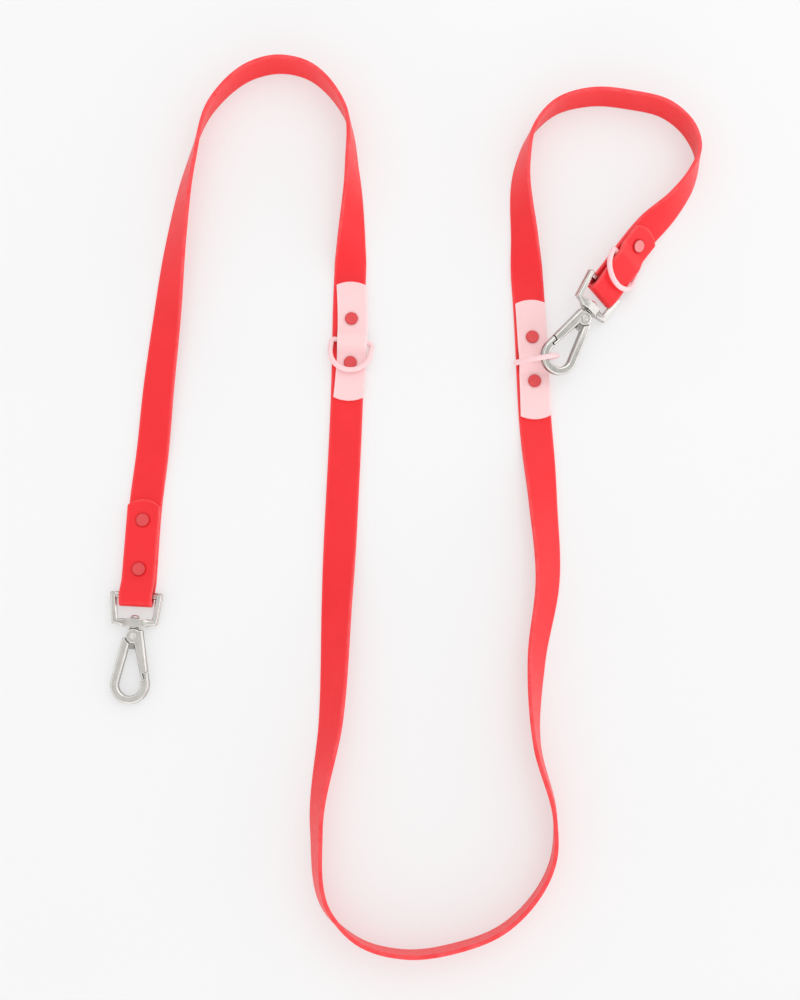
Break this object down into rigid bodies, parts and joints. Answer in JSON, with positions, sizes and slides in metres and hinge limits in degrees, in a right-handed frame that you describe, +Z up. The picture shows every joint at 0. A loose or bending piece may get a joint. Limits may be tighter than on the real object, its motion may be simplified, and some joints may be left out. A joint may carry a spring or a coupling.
{
  "type": "multi-way dog leash",
  "caption": "Flat red coated dog leash laid in loops, with swivel snap hooks at both ends, riveted pink patches and pink D-rings.",
  "frame": {"origin": "middle of the outline on the table", "axes": "+Y away from the viewer along the longest extent, +X to the right, +Z up from the table"},
  "size_m": [0.365, 0.5495, 0.0246],
  "materials": {
    "strap_coating": "soft satin coated webbing",
    "patch_coating": "soft satin coated webbing",
    "ring_enamel": "satin enamel on steel wire",
    "rivet_enamel": "matt enamel",
    "hook_metal": "satin nickel",
    "pin_metal": "plain"
  },
  "bodies": {
    "strap_body": {"strap": "strap_coating", "patch_1": "patch_coating", "patch_2": "patch_coating", "left_end_rivet_caps": "rivet_enamel", "left_end_rivet_posts": "rivet_enamel", "patch_1_rivet_caps": "rivet_enamel", "patch_1_rivet_posts": "rivet_enamel", "patch_2_rivet_caps": "rivet_enamel", "patch_2_rivet_posts": "rivet_enamel", "handle_end_rivet_cap": "rivet_enamel", "handle_end_rivet_post": "rivet_enamel"},
    "ring_1_body": {"ring_1": "ring_enamel"},
    "ring_2_body": {"ring_2": "ring_enamel"},
    "ring_3_body": {"ring_3": "ring_enamel"},
    "left_eye_body": {"left_eye_frame": "hook_metal"},
    "left_hook_assembly": {"left_hook_body": "hook_metal", "left_gate_spring": "pin_metal"},
    "left_gate_body": {"left_gate": "hook_metal", "left_gate_pin": "pin_metal"},
    "right_eye_body": {"right_eye_frame": "hook_metal"},
    "right_hook_assembly": {"right_hook_body": "hook_metal", "right_gate_spring": "pin_metal"},
    "right_gate_body": {"right_gate": "hook_metal", "right_gate_pin": "pin_metal"}
  },
  "joints": [
    {"name": "ring_1_swing", "type": "hinge", "parent": "strap_body", "child": "ring_1_body", "pos_m": [-0.0374, 0.0927, 0.00425], "axis": [-0.9903, 0.1392, 0], "range_deg": [-1.5, 155]},
    {"name": "ring_2_swing", "type": "hinge", "parent": "strap_body", "child": "ring_2_body", "pos_m": [0.0762, 0.081, 0.00425], "axis": [-0.9848, -0.1736, 0], "range_deg": [-8, 6]},
    {"name": "ring_3_swing", "type": "hinge", "parent": "strap_body", "child": "ring_3_body", "pos_m": [0.1324, 0.14215, 0.01039], "axis": [-0.6375, 0.4981, 0.5878], "range_deg": [-1.5, 138]},
    {"name": "left_eye_swing", "type": "hinge", "parent": "strap_body", "child": "left_eye_body", "pos_m": [-0.1666, -0.0653, 0.0048], "axis": [-0.9986, 0.0523, 0], "range_deg": [-90, 110]},
    {"name": "left_swivel", "type": "hinge", "parent": "left_eye_body", "child": "left_hook_assembly", "pos_m": [-0.16751, -0.08267, 0.00434], "axis": [-0.0523, -0.9983, -0.0262], "continuous": true},
    {"name": "left_gate_hinge", "type": "hinge", "parent": "left_hook_assembly", "child": "left_gate_body", "pos_m": [-0.16788, -0.08966, 0.00416], "axis": [0.0014, 0.0261, -0.9997], "range_deg": [0, 22], "stiffness_Nm_per_rad": 0.02, "springref_deg": -17.19, "deforming": ["left_gate_spring"]},
    {"name": "right_eye_swing", "type": "hinge", "parent": "strap_body", "child": "right_eye_body", "pos_m": [0.11878, 0.1255, 0.01142], "axis": [-0.6638, 0.4632, 0.5872], "range_deg": [-4, 0.4]},
    {"name": "right_swivel", "type": "hinge", "parent": "right_eye_body", "child": "right_hook_assembly", "pos_m": [0.1093, 0.11093, 0.01221], "axis": [-0.5447, -0.8374, 0.045], "range_deg": [-3, 30]},
    {"name": "right_gate_hinge", "type": "hinge", "parent": "right_hook_assembly", "child": "right_gate_body", "pos_m": [0.10549, 0.10507, 0.01252], "axis": [0.3233, -0.1602, 0.9326], "range_deg": [0, 22], "stiffness_Nm_per_rad": 0.02, "springref_deg": -17.19, "deforming": ["right_gate_spring"]}
  ]
}
